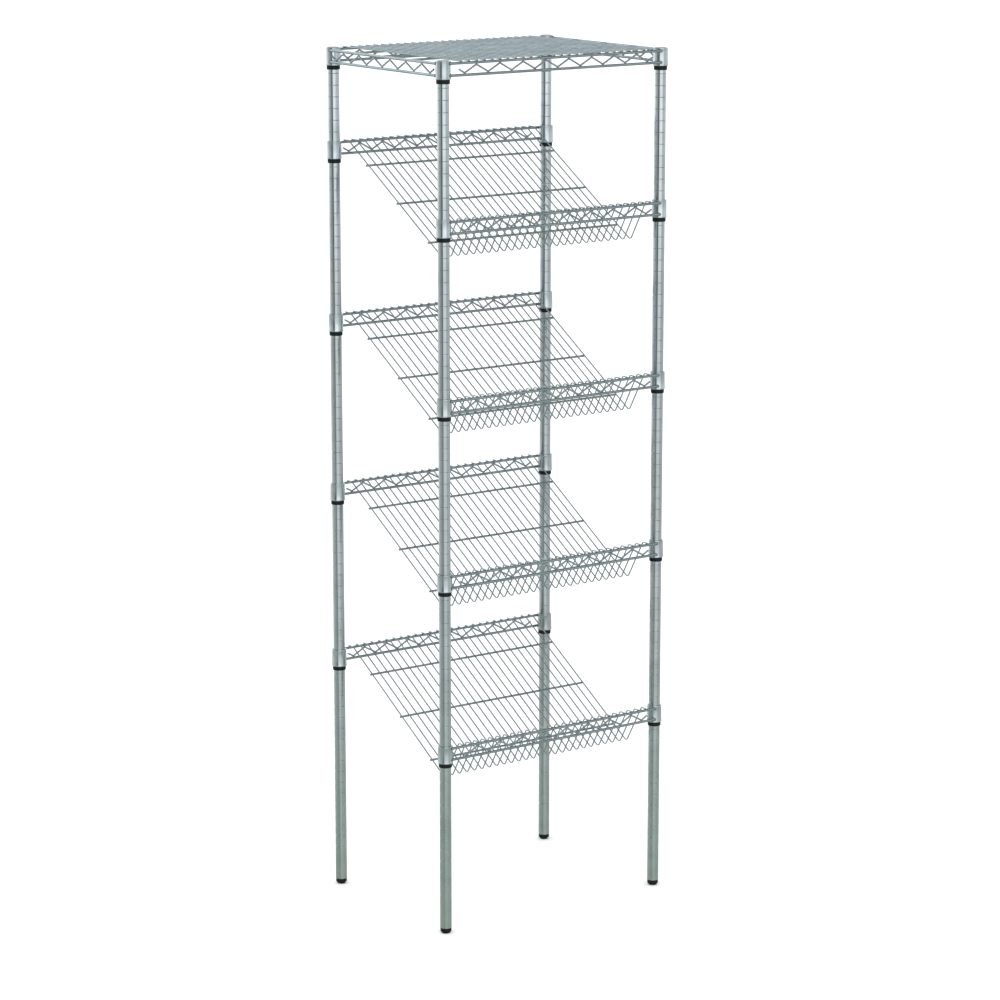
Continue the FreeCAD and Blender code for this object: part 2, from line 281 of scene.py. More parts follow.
def chromeSurface(name, grooved=False):
    # decorative chrome on polished steel: mirror-like, cold, with hazy clouds and fine lines of the polish
    roughness, colour, lineAxes = chromeKinds[name]
    material, tree = newSurface(name, {"Metallic": 1.0})
    calc = mathIn(tree)
    place = addNode(tree, "ShaderNodeTexCoord").outputs["Object"]
    cloud = noise(tree, place, chromePlate["cloud"], detail=4.0, roughness=0.6)
    stretched = addNode(tree, "ShaderNodeMapping", {"Scale": lineAxes, "Vector": place}).outputs[0]
    lines = noise(tree, stretched, chromePlate["line"], detail=2.0)
    speck = mapRange(tree, voronoi(tree, place, chromePlate["speck"]), chromePlate["speckRange"], (1.0, 0.0))
    tone = blend(tree, mapRange(tree, cloud, chromePlate["hazeRange"]), srgb(colour), srgb(chromePlate["haze"]))
    tone = blend(tree, calc("MULTIPLY", speck, chromePlate["dustShare"]), tone, srgb(chromePlate["dust"]))
    rough = mapRange(tree, cloud, chromePlate["dullRange"], (roughness, roughness + chromePlate["roughnessSpread"]))
    # painted shade: the tone darkens in the rolled grooves, which are also made a little rougher
    if grooved:
        groove = addNode(tree, "ShaderNodeAttribute", {"attribute_name": "grooveShade"}).outputs["Fac"]
        tone = blend(tree, calc("MULTIPLY", groove, chromePlate["grooveShadeShare"]), tone, srgb(chromePlate["grooveShadeTone"]))
        rough = calc("MULTIPLY_ADD", groove, chromePlate["grooveRoughness"], rough)
    return closeSurface(material, tone, rough, lines, chromePlate["lineStrength"], chromePlate["lineDepth"] * mm)


polishedChromeTube = chromeSurface("polishedChromeTube", grooved=True)
pressedChromeCollar = chromeSurface("pressedChromeCollar")
drawnChromeWireX = chromeSurface("drawnChromeWireX")
drawnChromeWireY = chromeSurface("drawnChromeWireY")

plastic = {
    "grain": 0.9,                # mm, eroded texture of the mould
    "grainDepth": 0.05,          # mm
    "grainStrength": 0.15,
    "scuff": 9.0,                # mm
    "scuffRange": (0.56, 0.72),
    "scuffRoughness": 0.22,
}
plasticKinds = {                 # colour, scuffed colour, roughness
    "nylonSleeveBlack": ("#0E0F0F", "#1B1D1D", 0.42),
    "polyethyleneFootBlack": ("#0D0E0D", "#1E2021", 0.50),
    "polypropyleneCapGrey": ("#8E9596", "#A8AEAE", 0.36),
}


def mouldedSurface(name):
    # injection-moulded plastic: satin skin from an eroded mould, scuffed paler on a few spots
    colour, worn, roughness = plasticKinds[name]
    material, tree = newSurface(name, {"IOR": 1.48, "Specular IOR Level": 0.3})
    place = addNode(tree, "ShaderNodeTexCoord").outputs["Object"]
    grain = noise(tree, place, plastic["grain"], detail=3.0)
    scuffs = noise(tree, place, plastic["scuff"], detail=6.0, roughness=0.7)
    tone = blend(tree, mapRange(tree, scuffs, plastic["scuffRange"]), srgb(colour), srgb(worn))
    rough = mapRange(tree, scuffs, (0.0, 1.0), (roughness, roughness + plastic["scuffRoughness"]))
    return closeSurface(material, tone, rough, grain, plastic["grainStrength"], plastic["grainDepth"] * mm)


nylonSleeveBlack = mouldedSurface("nylonSleeveBlack")
polyethyleneFootBlack = mouldedSurface("polyethyleneFootBlack")
polypropyleneCapGrey = mouldedSurface("polypropyleneCapGrey")

zinc = {
    "dark": "#A9A8A0",
    "light": "#C0BFB6",
    "crystal": 1.8,              # mm
    "roughness": (0.32, 0.5),
    "threadPitch": 1.5,          # mm
    "threadStrength": 0.8,
}


def zincSurface(name):
    # zinc-plated steel: warm grey crystals, and the thread as rings of bump
    material, tree = newSurface(name, {"Metallic": 1.0})
    place = addNode(tree, "ShaderNodeTexCoord").outputs["Object"]
    crystals = voronoi(tree, place, zinc["crystal"])
    tone = blend(tree, crystals, srgb(zinc["dark"]), srgb(zinc["light"]))
    rough = mapRange(tree, crystals, (0.0, 1.0), zinc["roughness"])
    height = addNode(tree, "ShaderNodeSeparateXYZ", {0: place}).outputs["Z"]
    turns = mathIn(tree)("PINGPONG", height, zinc["threadPitch"] * mm / 2)
    return closeSurface(material, tone, rough, turns, zinc["threadStrength"], 1.0)


zincPlatedThread = zincSurface("zincPlatedThread")

weldMetal = {
    "dark": "#7E8486",
    "light": "#AEB4B6",
    "lump": 1.2,                 # mm
    "lumpDepth": 0.2,            # mm
    "lumpStrength": 0.4,
    "roughness": (0.28, 0.52),
}


def weldSurface(name):
    # plated resistance weld: the squeezed metal is lumpy, and its plate is duller and a little darker
    material, tree = newSurface(name, {"Metallic": 1.0})
    place = addNode(tree, "ShaderNodeTexCoord").outputs["Object"]
    lumps = noise(tree, place, weldMetal["lump"], detail=3.0)
    tone = blend(tree, lumps, srgb(weldMetal["dark"]), srgb(weldMetal["light"]))
    rough = mapRange(tree, lumps, (0.0, 1.0), weldMetal["roughness"])
    return closeSurface(material, tone, rough, lumps, weldMetal["lumpStrength"], weldMetal["lumpDepth"] * mm)


platedWeldMetal = weldSurface("platedWeldMetal")
print("materials made,", len(bpy.data.materials))


# posts: tubes with a rolled groove every 25.4 mm

postTube = {
    "Radius": 12.7 * mm,
    "Wall": 1.6 * mm,
    "Bottom": 12.3 * mm,
    "Top": 1896.0 * mm,
    "First Groove": 88.9 * mm,
    "Groove Pitch": 25.4 * mm,
    "Groove Count": 71,
    "Groove Width": 1.4 * mm,    # rounded lips included
    "Groove Depth": 0.6 * mm,
    "Sides": 48,
}


def postTree():
    tree, size = newTree("rolledGrooveTube", {
        "Radius": "Float", "Wall": "Float", "Bottom": "Float", "Top": "Float", "First Groove": "Float",
        "Groove Pitch": "Float", "Groove Count": "Int", "Groove Width": "Float", "Groove Depth": "Float",
        "Sides": "Int", "Place": "Vector", "Material": "Material"})
    calc = mathIn(tree)

    def choose(test, otherwise, chosen):
        return addNode(tree, "GeometryNodeSwitch", {
            "input_type": "FLOAT", 0: test, 1: otherwise, 2: chosen}).outputs[0]

    # the wall's outline has 9 points at each groove, the outer two on the plain tube, and 2 at each end
    perGroove, toLip, perEnd = 9, 3, 2
    count = calc("MULTIPLY_ADD", size["Groove Count"], perGroove, 2 * perEnd)
    index = addNode(tree, "GeometryNodeInputIndex").outputs[0]
    step = calc("SUBTRACT", index, perEnd)
    groove = calc("FLOOR", calc("DIVIDE", step, perGroove))
    stepInGroove = calc("SUBTRACT", step, calc("MULTIPLY", groove, perGroove))
    across = calc("DIVIDE", calc("SUBTRACT", stepInGroove, perGroove // 2), toLip)
    inGroove = calc("MINIMUM", calc("ABSOLUTE", across), 1)
    dip = calc("MULTIPLY_ADD", calc("COSINE", calc("MULTIPLY", inGroove, math.pi)), 0.5, 0.5)
    grooveZ = calc("MULTIPLY_ADD", groove, size["Groove Pitch"], size["First Groove"])
    grooveZ = calc("ADD", grooveZ, calc("MULTIPLY", calc("MULTIPLY", across, size["Groove Width"]), 0.5))
    atBottom = calc("LESS_THAN", index, perEnd - 0.5)
    atTop = calc("GREATER_THAN", index, calc("SUBTRACT", count, perEnd + 0.5))
    height = choose(atTop, choose(atBottom, grooveZ, size["Bottom"]), size["Top"])
    outer = calc("SUBTRACT", size["Radius"], calc("MULTIPLY", dip, size["Groove Depth"]))
    inside = calc("ADD", calc("LESS_THAN", index, 0.5), calc("GREATER_THAN", index, calc("SUBTRACT", count, 1.5)))
    radius = choose(inside, outer, calc("SUBTRACT", size["Radius"], size["Wall"]))
    hub = 1.0 * mm  # the outline is swept round a ring of this radius
    spot = addNode(tree, "ShaderNodeCombineXYZ", {0: calc("SUBTRACT", radius, hub), 1: calc("MULTIPLY", height, -1)})
    points = addNode(tree, "GeometryNodeMeshLine", {"Count": count})
    shaped = addNode(tree, "GeometryNodeSetPosition", {"Geometry": points.outputs[0], "Position": spot.outputs[0]})
    shade = calc("MULTIPLY", dip, calc("SUBTRACT", 1, calc("MAXIMUM", atBottom, atTop)))
    marked = addNode(tree, "GeometryNodeStoreNamedAttribute", {
        "data_type": "FLOAT", "domain": "POINT", "Name": "grooveShade", "Geometry": shaped.outputs[0],
        "Value": shade})
    outline = addNode(tree, "GeometryNodeMeshToCurve", {0: marked.outputs[0]})
    closed = addNode(tree, "GeometryNodeSetSplineCyclic", {"Cyclic": True, "Geometry": outline.outputs[0]})
    ring = addNode(tree, "GeometryNodeCurvePrimitiveCircle", {"Radius": hub, "Resolution": size["Sides"]})
    tube = addNode(tree, "GeometryNodeCurveToMesh", {"Curve": ring.outputs[0], "Profile Curve": closed.outputs[0]})
    placed = addNode(tree, "GeometryNodeTransform", {"Geometry": tube.outputs[0], "Translation": size["Place"]})
    return closeTree(tree, placed.outputs[0], size["Material"])


rolledGrooveTube = postTree()
for corner, (x, y) in postPlaces.items():
    post = growPiece("grooved_post_" + corner, rolledGrooveTube,
                     {**postTube, "Place": (x * mm, y * mm, 0.0), "Material": polishedChromeTube})
    dress(post, "root", "post_steel", "post_" + corner)
print("posts made, grooves on each:", postTube["Groove Count"])


# caps, feet, sleeves and collars: turned shapes set at the four corners

def cornerTree():
    # copies the seed shape to the four posts, the back pair higher, on one or more levels
    tree, size = newTree("atFourPosts", {
        "Width": "Float", "Depth": "Float", "Back Rise": "Float", "First Level": "Float", "Level Step": "Float",
        "Levels": "Int", "Material": "Material"})
    calc = mathIn(tree)
    grid = addNode(tree, "GeometryNodeMeshGrid", {
        "Vertices X": 2, "Vertices Y": 2, "Size X": size["Width"], "Size Y": size["Depth"]})
    where = addNode(tree, "ShaderNodeSeparateXYZ", {0: addNode(tree, "GeometryNodeInputPosition").outputs[0]})
    rise = calc("MULTIPLY", calc("GREATER_THAN", where.outputs["Y"], 0.0), size["Back Rise"])
    lift, start, step = (addNode(tree, "ShaderNodeCombineXYZ", {2: height}).outputs[0]
                         for height in (rise, size["First Level"], size["Level Step"]))
    stepped = addNode(tree, "GeometryNodeSetPosition", {"Geometry": grid.outputs[0], "Offset": lift})
    levels = addNode(tree, "GeometryNodeMeshLine", {
        "Count": size["Levels"], "Start Location": start, "Offset": step})
    four = addNode(tree, "GeometryNodeInstanceOnPoints", {
        "Points": stepped.outputs[0], "Instance": size["Geometry"]})
    every = addNode(tree, "GeometryNodeInstanceOnPoints", {
        "Points": levels.outputs[0], "Instance": four.outputs[0]})
    return closeTree(tree, every.outputs[0], size["Material"])


atFourPosts = cornerTree()


def setAtPosts(name, shape, material, level, backRise=0.0, levels=1, levelStep=0.0):
    return growPiece(name, atFourPosts, {
        "Width": 2 * rack["postX"] * mm, "Depth": 2 * rack["postY"] * mm, "Back Rise": backRise * mm,
        "First Level": level * mm, "Level Step": levelStep * mm, "Levels": levels, "Material": material}, shape)


postCap = {
    "headRadius": 12.7,
    "headTop": 1898.0,
    "tubeTop": 1896.0,
    "plugRadius": 11.0,
    "plugBottom": 1882.0,
    "plugTaper": 0.6,            # narrower at its bottom
    "plugTaperHeight": 3.0,
    "dishRadius": 9.4,           # shallow dish in the moulded head
    "dishDepth": 0.5,
    "dishSlope": 0.8,
    "softness": 0.7,
    "sides": 40,
}
capProfile = softCorners([
    (0.0, postCap["plugBottom"]),
    (postCap["plugRadius"] - postCap["plugTaper"], postCap["plugBottom"]),
    (postCap["plugRadius"], postCap["plugBottom"] + postCap["plugTaperHeight"]),
    (postCap["plugRadius"], postCap["tubeTop"]),
    (postCap["headRadius"], postCap["tubeTop"]),
    (postCap["headRadius"], postCap["headTop"]),
    (postCap["dishRadius"] + postCap["dishSlope"], postCap["headTop"]),
    (postCap["dishRadius"], postCap["headTop"] - postCap["dishDepth"]),
    (0.0, postCap["headTop"] - postCap["dishDepth"]),
], postCap["softness"])
capShape = turnedMesh("capShape", capProfile, postCap["sides"])
dress(setAtPosts("moulded_post_caps", capShape, polypropyleneCapGrey, 0.0), "root", "cap_plastic", "post_caps")

footPad = {
    "radius": 12.2,
    "soleRadius": 8.8,
    "soleHeight": 3.0,
    "shoulder": 1.0,
    "height": 12.0,
    "seatRadius": 5.03,
    "seatBottom": 4.95,
    "softness": 0.6,
    "sides": 48,
}
footProfile = softCorners([
    (0.0, 0.0),
    (footPad["soleRadius"], 0.0),
    (footPad["soleRadius"], footPad["soleHeight"]),
    (footPad["radius"], footPad["soleHeight"] + footPad["shoulder"]),
    (footPad["radius"], footPad["height"]),
    (footPad["seatRadius"], footPad["height"]),
    (footPad["seatRadius"], footPad["seatBottom"]),
    (0.0, footPad["seatBottom"]),
], footPad["softness"])
for corner, (x, y) in postPlaces.items():
    footMesh = turnedMesh("footShape", footProfile, footPad["sides"])
    footMesh.transform(Matrix.Translation((x * mm, y * mm, 0.0)))
    finishMesh(footMesh)
    footMesh.materials.append(polyethyleneFootBlack)
    dress(addObject("levelling_foot_" + corner, footMesh), "foot_" + corner, "foot_plastic", "foot_pad_" + corner)

splitSleeve = {
    "inner": 12.8,
    "flange": 14.6,
    "flangeHalf": 4.5,           # half the height of the flange
    "base": 14.2,
    "lowBandTop": 12.5,          # a tapered band at each end bears in the collar
    "lowBand": 14.07,
    "waist": 13.53,
    "highBandBottom": 32.5,
    "highBand": 13.73,
    "tip": 13.6,
    "top": 40.5,
    "beadInner": 12.3,           # sits in a groove of the post
    "beadMiddle": 12.7,
    "beadHalf": 0.8,
    "gapDegrees": 1.8,           # half of the slit between the two halves
    "softness": 0.7,
    "halfSides": 20,
}
sleeveProfile = softCorners([
    (splitSleeve["inner"], -splitSleeve["flangeHalf"]),
    (splitSleeve["flange"], -splitSleeve["flangeHalf"]),
    (splitSleeve["flange"], splitSleeve["flangeHalf"]),
    (splitSleeve["base"], splitSleeve["flangeHalf"]),
    (splitSleeve["lowBand"], splitSleeve["lowBandTop"]),
    (splitSleeve["waist"], splitSleeve["lowBandTop"]),
    (splitSleeve["waist"], splitSleeve["highBandBottom"]),
    (splitSleeve["highBand"], splitSleeve["highBandBottom"]),
    (splitSleeve["tip"], splitSleeve["top"]),
    (splitSleeve["inner"], splitSleeve["top"]),
    (splitSleeve["inner"], splitSleeve["beadMiddle"] + splitSleeve["beadHalf"]),
    (splitSleeve["beadInner"], splitSleeve["beadMiddle"]),
    (splitSleeve["inner"], splitSleeve["beadMiddle"] - splitSleeve["beadHalf"]),
], splitSleeve["softness"])


def sleeveShape():
    gap = splitSleeve["gapDegrees"]
    verts, faces = [], []
    for start in (0.0, 180.0):
        half = turnedMesh("sleeveHalf", sleeveProfile, splitSleeve["halfSides"], start + gap, start + 180.0 - gap)
        offset = len(verts)
        verts += [v.co[:] for v in half.vertices]
        faces += [[i + offset for i in p.vertices] for p in half.polygons]
    both = bpy.data.meshes.new("sleeveShape")
    both.from_pydata(verts, [], faces)
    return both


slantedSleeves = setAtPosts("slanted_shelf_split_sleeves", sleeveShape(), nylonSleeveBlack, rack["lowestShelf"],
                            rack["slantRise"], rack["slantedShelves"], rack["shelfStep"])
dress(slantedSleeves, "root", "sleeve_plastic",
      *["slanted_shelf_%d_sleeves" % (i + 1) for i in range(rack["slantedShelves"])])
topSleeves = setAtPosts("top_shelf_split_sleeves", sleeveShape(), nylonSleeveBlack, rack["topShelf"])
dress(topSleeves, "root", "sleeve_plastic", "top_shelf_sleeves")

collar = {
    "bottom": 4.8,               # above the flange middle
    "top": 43.0,
    "innerBottom": 14.39,
    "innerTop": 13.76,
    "wall": 2.5,
    "rim": 0.35,                 # rolled rims stand this far out of the cone
    "rimHeight": 2.2,
    "rimSlope": 0.5,
    "softness": 0.6,
    "sides": 56,
}


def collarRadius(z):
    # outside of the cone at a height above the flange middle
    taper = (collar["innerTop"] - collar["innerBottom"]) / (collar["top"] - collar["bottom"])
    return collar["innerBottom"] + collar["wall"] + taper * (z - collar["bottom"])


def collarProfile():
    low, high = collar["bottom"], collar["top"]
    lowRim, highRim = low + collar["rimHeight"], high - collar["rimHeight"]
    return softCorners([
        (collar["innerBottom"], low),
        (collarRadius(low), low),
        (collarRadius(lowRim), lowRim),
        (collarRadius(lowRim) - collar["rim"], lowRim + collar["rimSlope"]),
        (collarRadius(highRim) - collar["rim"], highRim - collar["rimSlope"]),
        (collarRadius(highRim), highRim),
        (collarRadius(high), high),
        (collar["innerTop"], high),
    ], collar["softness"])


collarShape = turnedMesh("collarShape", collarProfile(), collar["sides"])


def addCollars(body, level, backRise=0.0):
    collars = setAtPosts(body + "_pressed_collars", collarShape.copy(), pressedChromeCollar, level, backRise)
    dress(collars, body, "collar_steel", body + "_collars")


print("caps, feet and sleeves made")


# wires: straight runs with rounded bends, side by side where a deck needs many

shearedEnd = {
    "length": 0.5,               # mm, tapered by the shears
    "girth": 0.72,
}


def wireTree():
    tree, size = newTree("bentWires", {
        "Wire Radius": "Float", "Sides": "Int", "Count": "Int", "Pitch": "Float", "Material": "Material"})
    calc = mathIn(tree)
    bend, girth = (addNode(tree, "GeometryNodeInputNamedAttribute", {"data_type": "FLOAT", "Name": name}).outputs[0]
                   for name in ("bendRadius", "girth"))
    path = addNode(tree, "GeometryNodeMeshToCurve", {0: size["Geometry"]})
    bent = addNode(tree, "GeometryNodeFilletCurve", {
        "mode": "POLY", "Count": bendSteps, "Limit Radius": True, "Curve": path.outputs[0], "Radius": bend})
    section = addNode(tree, "GeometryNodeCurvePrimitiveCircle", {
        "Resolution": size["Sides"], "Radius": size["Wire Radius"]})
    wire = addNode(tree, "GeometryNodeCurveToMesh", {
        "Fill Caps": True, "Curve": bent.outputs[0], "Profile Curve": section.outputs[0], "Scale": girth})
    first = calc("MULTIPLY", calc("MULTIPLY", calc("SUBTRACT", size["Count"], 1.0), -0.5), size["Pitch"])
    start, step = (addNode(tree, "ShaderNodeCombineXYZ", {0: x}).outputs[0] for x in (first, size["Pitch"]))
    row = addNode(tree, "GeometryNodeMeshLine", {"Count": size["Count"], "Start Location": start, "Offset": step})
    many = addNode(tree, "GeometryNodeInstanceOnPoints", {"Points": row.outputs[0], "Instance": wire.outputs[0]})
    return closeTree(tree, many.outputs[0], size["Material"])


bentWires = wireTree()


def wirePath(name, turns, bends):
    # a line of edges with a bend radius at each point and a tapered tip at both ends
    points = [Vector(turn) * mm for turn in turns]
    tip = shearedEnd["length"] * mm
    start = points[0] + (points[1] - points[0]).normalized() * tip
    end = points[-1] + (points[-2] - points[-1]).normalized() * tip
    points = [points[0], start, *points[1:-1], end, points[-1]]
    radii = [0.0, 0.0, *(bend * mm for bend in bends), 0.0, 0.0]
    girths = [shearedEnd["girth"], *[1.0] * (len(points) - 2), shearedEnd["girth"]]
    mesh = bpy.data.meshes.new(name)
    mesh.from_pydata([p[:] for p in points], [(i, i + 1) for i in range(len(points) - 1)], [])
    mesh.attributes.new("bendRadius", "FLOAT", "POINT").data.foreach_set("value", radii)
    mesh.attributes.new("girth", "FLOAT", "POINT").data.foreach_set("value", girths)
    return mesh


deck = {
    "wireRadius": 1.5,
    "pitch": 20.0,
    "wires": 26,
    "sides": 12,
    "overRail": 4.55,            # deck wire above the middle of the rail it lies on
    "endY": 227.0,
    "frontLip": 17.6,
    "backLip": 19.9,
    "stopLength": 105.6,
    "stopBend": 8.0,
    "lipBend": 5.0,
    "crossWires": 3,
    "crossRadius": 2.4,
    "crossSides": 14,
    "crossHalf": 252.5,
    "crossBelow": 3.95,          # cross wire under the deck wires, middle to middle
    "nuggetBelow": 0.1,          # weld nugget under the deck wires
    "firstCross": 59.0,
    "lastCross": 87.4,
    "topCrossStep": 105.0,
}
lipHeight = rack["upperRail"] + deck["overRail"]
frontEnd = Vector((0.0, -deck["endY"], lipHeight))
backEnd = Vector((0.0, deck["endY"], lipHeight + rack["slantRise"]))
frontLip = frontEnd + Vector((0.0, deck["frontLip"], 0.0))
backLip = backEnd - Vector((0.0, deck["backLip"], 0.0))
lipToLip = backLip - frontLip
slant = math.atan2(lipToLip.z, lipToLip.y) + math.asin(deck["stopLength"] / lipToLip.length)
upSlope = Vector((0.0, math.cos(slant), math.sin(slant)))
offSlope = Vector((0.0, -math.sin(slant), math.cos(slant)))
deckCorner = frontLip - offSlope * deck["stopLength"]
crossSpan = (backLip - deckCorner).length - deck["firstCross"] - deck["lastCross"]
crossPlaces = [deck["firstCross"] + i * crossSpan / (deck["crossWires"] - 1) for i in range(deck["crossWires"])]
deckX = [(i - (deck["wires"] - 1) / 2) * deck["pitch"] for i in range(deck["wires"])]


def addDeckWires(name, body, level, turns, bends):
    wires = growPiece(name, bentWires, {
        "Wire Radius": deck["wireRadius"] * mm, "Sides": deck["sides"], "Count": deck["wires"],
        "Pitch": deck["pitch"] * mm, "Material": drawnChromeWireY}, wirePath(name + "Path", turns, bends))
    wires.data.transform(Matrix.Translation((0.0, 0.0, level * mm)))
    dress(wires, body, "deck_wire", body + "_deck_wires")


def addCrossWires(body, halfLength, places):
    # places are (y, z) of each cross wire
    crosses = []
    for number, (y, z) in enumerate(places):
        name = body + "_cross_%d" % number
        path = wirePath(name + "Path", [(-halfLength, y, z), (halfLength, y, z)], [])
        crosses.append(growPiece(name, bentWires, {
            "Wire Radius": deck["crossRadius"] * mm, "Sides": deck["crossSides"], "Count": 1, "Pitch": 0.0,
            "Material": drawnChromeWireX}, path))
    dress(joinPieces(body + "_cross_wires_drawn", crosses), body, "truss_wire", body + "_cross_wires")


# trusses: a zigzag wire between two rails

zigzag = {
    "Wire Radius": 2.0 * mm,
    "Reach": 7.45 * mm,          # from mid height to the middle of the wire at a bend
    "Leg Angle": math.radians(28.5),
    "Bend Radius": 5.0 * mm,
    "Sides": 12,
}
frontBends = 9                   # lower bends on a front or back truss
sideBends = 7


def zigzagTree():
    tree, size = newTree("trussZigzag", {
        "Wire Radius": "Float", "Reach": "Float", "Leg Angle": "Float", "Bend Radius": "Float", "Bends": "Int",
        "Sides": "Int", "Turn": "Float", "Place": "Vector", "Material": "Material"})
    calc = mathIn(tree)
    # the sharp corners stand past the rounded bends, and that sets the pitch
    overshoot = calc("SUBTRACT", calc("DIVIDE", 1.0, calc("COSINE", size["Leg Angle"])), 1.0)
    corner = calc("MULTIPLY_ADD", overshoot, size["Bend Radius"], size["Reach"])
    halfPitch = calc("DIVIDE", calc("MULTIPLY", corner, 2.0), calc("TANGENT", size["Leg Angle"]))
    index = addNode(tree, "GeometryNodeInputIndex").outputs[0]
    last = calc("MULTIPLY", size["Bends"], 2.0)
    fromMiddle = calc("SUBTRACT", index, size["Bends"])
    atEnd = calc("GREATER_THAN", calc("ABSOLUTE", fromMiddle), calc("SUBTRACT", size["Bends"], 0.5))
    pull = calc("MULTIPLY", calc("MULTIPLY", atEnd, 0.5), calc("SIGN", fromMiddle))
    x = calc("MULTIPLY", calc("SUBTRACT", fromMiddle, pull), halfPitch)
    upper = calc("SUBTRACT", 1.0, calc("MULTIPLY", calc("MODULO", index, 2.0), 2.0))
    z = calc("MULTIPLY", calc("MULTIPLY", upper, corner), calc("SUBTRACT", 1.0, atEnd))
    spot = addNode(tree, "ShaderNodeCombineXYZ", {0: x, 2: z})
    line = addNode(tree, "GeometryNodeMeshLine", {"Count": calc("ADD", last, 1.0)})
    shaped = addNode(tree, "GeometryNodeSetPosition", {"Geometry": line.outputs[0], "Position": spot.outputs[0]})
    path = addNode(tree, "GeometryNodeMeshToCurve", {0: shaped.outputs[0]})
    bent = addNode(tree, "GeometryNodeFilletCurve", {
        "mode": "POLY", "Count": bendSteps, "Limit Radius": True, "Curve": path.outputs[0],
        "Radius": size["Bend Radius"]})
    section = addNode(tree, "GeometryNodeCurvePrimitiveCircle", {
        "Resolution": size["Sides"], "Radius": size["Wire Radius"]})
    wire = addNode(tree, "GeometryNodeCurveToMesh", {
        "Fill Caps": True, "Curve": bent.outputs[0], "Profile Curve": section.outputs[0]})
    turn = addNode(tree, "ShaderNodeCombineXYZ", {2: size["Turn"]})
    placed = addNode(tree, "GeometryNodeTransform", {
        "Geometry": wire.outputs[0], "Translation": size["Place"], "Rotation": turn.outputs[0]})
    return closeTree(tree, placed.outputs[0], size["Material"])


trussZigzag = zigzagTree()
trussMiddle = (rack["lowerRail"] + rack["upperRail"]) / 2


def zigzagStep():
    corner = zigzag["Reach"] + zigzag["Bend Radius"] * (1 / math.cos(zigzag["Leg Angle"]) - 1)
    return 2 * corner / math.tan(zigzag["Leg Angle"]) / mm


# welds: a squeezed nugget wherever two wires cross, a bead where a rail meets a collar

weld = {
    "nugget": (1.9, 1.9, 0.75),  # mm, half sizes, flat side to the wires
    "zigzagNugget": (2.6, 1.5, 0.8),
    "nuggetSides": 8,
    "nuggetRings": 5,
    "beadRing": 3.2,             # mm, radius of the bead round a rail
    "beadThickness": 0.8,
    "beadSteps": 18,
    "beadSides": 7,
    "lumps": 0.22,               # mm
    "lumpWidth": 1.6,            # mm
}
up = (0, 0, 1)


def weldTree():
    tree, size = newTree("weldSpots", {
        "Bead": "Bool", "Ring Radius": "Float", "Ring Thickness": "Float", "Lumps": "Float", "Seed": "Int",
        "Material": "Material"})
    ball = addNode(tree, "GeometryNodeMeshUVSphere", {
        "Segments": weld["nuggetSides"], "Rings": weld["nuggetRings"], "Radius": mm})
    loop, section = (addNode(tree, "GeometryNodeCurvePrimitiveCircle", {"Resolution": steps, "Radius": radius})
                     for steps, radius in ((weld["beadSteps"], size["Ring Radius"]),
                                           (weld["beadSides"], size["Ring Thickness"])))
    ring = addNode(tree, "GeometryNodeCurveToMesh", {"Curve": loop.outputs[0], "Profile Curve": section.outputs[0]})
    shape = addNode(tree, "GeometryNodeSwitch", {
        "input_type": "GEOMETRY", 0: size["Bead"], 1: ball.outputs[0], 2: ring.outputs[0]})
    turn, stretch = (addNode(tree, "GeometryNodeInputNamedAttribute", {"data_type": "FLOAT_VECTOR", "Name": name})
                     for name in ("turn", "stretch"))
    spots = addNode(tree, "GeometryNodeInstanceOnPoints", {
        "Points": size["Geometry"], "Instance": shape.outputs[0], "Rotation": turn.outputs[0],
        "Scale": stretch.outputs[0]})
    whole = addNode(tree, "GeometryNodeRealizeInstances", {"Geometry": spots.outputs[0]})
    bumps = addNode(tree, "ShaderNodeTexNoise", {
        "noise_dimensions": "4D", "Scale": 1 / (weld["lumpWidth"] * mm), "Detail": 1.0, "W": size["Seed"],
        "Vector": addNode(tree, "GeometryNodeInputPosition").outputs[0]})
    centred = addNode(tree, "ShaderNodeVectorMath", {
        "operation": "SUBTRACT", 0: bumps.outputs["Color"], 1: (0.5, 0.5, 0.5)})
    bulge = addNode(tree, "ShaderNodeVectorMath", {
        "operation": "SCALE", 0: centred.outputs[0], "Scale": size["Lumps"]})
    lumpy = addNode(tree, "GeometryNodeSetPosition", {"Geometry": whole.outputs[0], "Offset": bulge.outputs[0]})
    return closeTree(tree, lumpy.outputs[0], size["Material"])


weldSpots = weldTree()


def weldSeeds(name, spots):
    # each spot is (place, facing direction, stretch)
    mesh = bpy.data.meshes.new(name)
    mesh.from_pydata([[c * mm for c in place] for place, facing, stretch in spots], [], [])
    turns, stretches = [], []
    for place, facing, stretch in spots:
        turns += Vector(facing).to_track_quat("Z", "Y").to_euler()[:]
        stretches += stretch
    mesh.attributes.new("turn", "FLOAT_VECTOR", "POINT").data.foreach_set("vector", turns)
    mesh.attributes.new("stretch", "FLOAT_VECTOR", "POINT").data.foreach_set("vector", stretches)
    return mesh


def growWelds(name, spots, bead, seed):
    return growPiece(name, weldSpots, {
        "Bead": bead, "Ring Radius": weld["beadRing"] * mm, "Ring Thickness": weld["beadThickness"] * mm,
        "Lumps": weld["lumps"] * mm, "Seed": seed, "Material": platedWeldMetal}, weldSeeds(name + "Seeds", spots))


def addWelds(body, nuggets, beads, seed):
    dress(growWelds(body + "_weld_nuggets", nuggets, False, seed), body, "truss_wire")
    dress(growWelds(body + "_collar_beads", beads, True, seed), body, "collar_steel")


def nuggetRow(y, z, facing=up):
    # one nugget at each deck wire
    return [((x, y, z), facing, weld["nugget"]) for x in deckX]


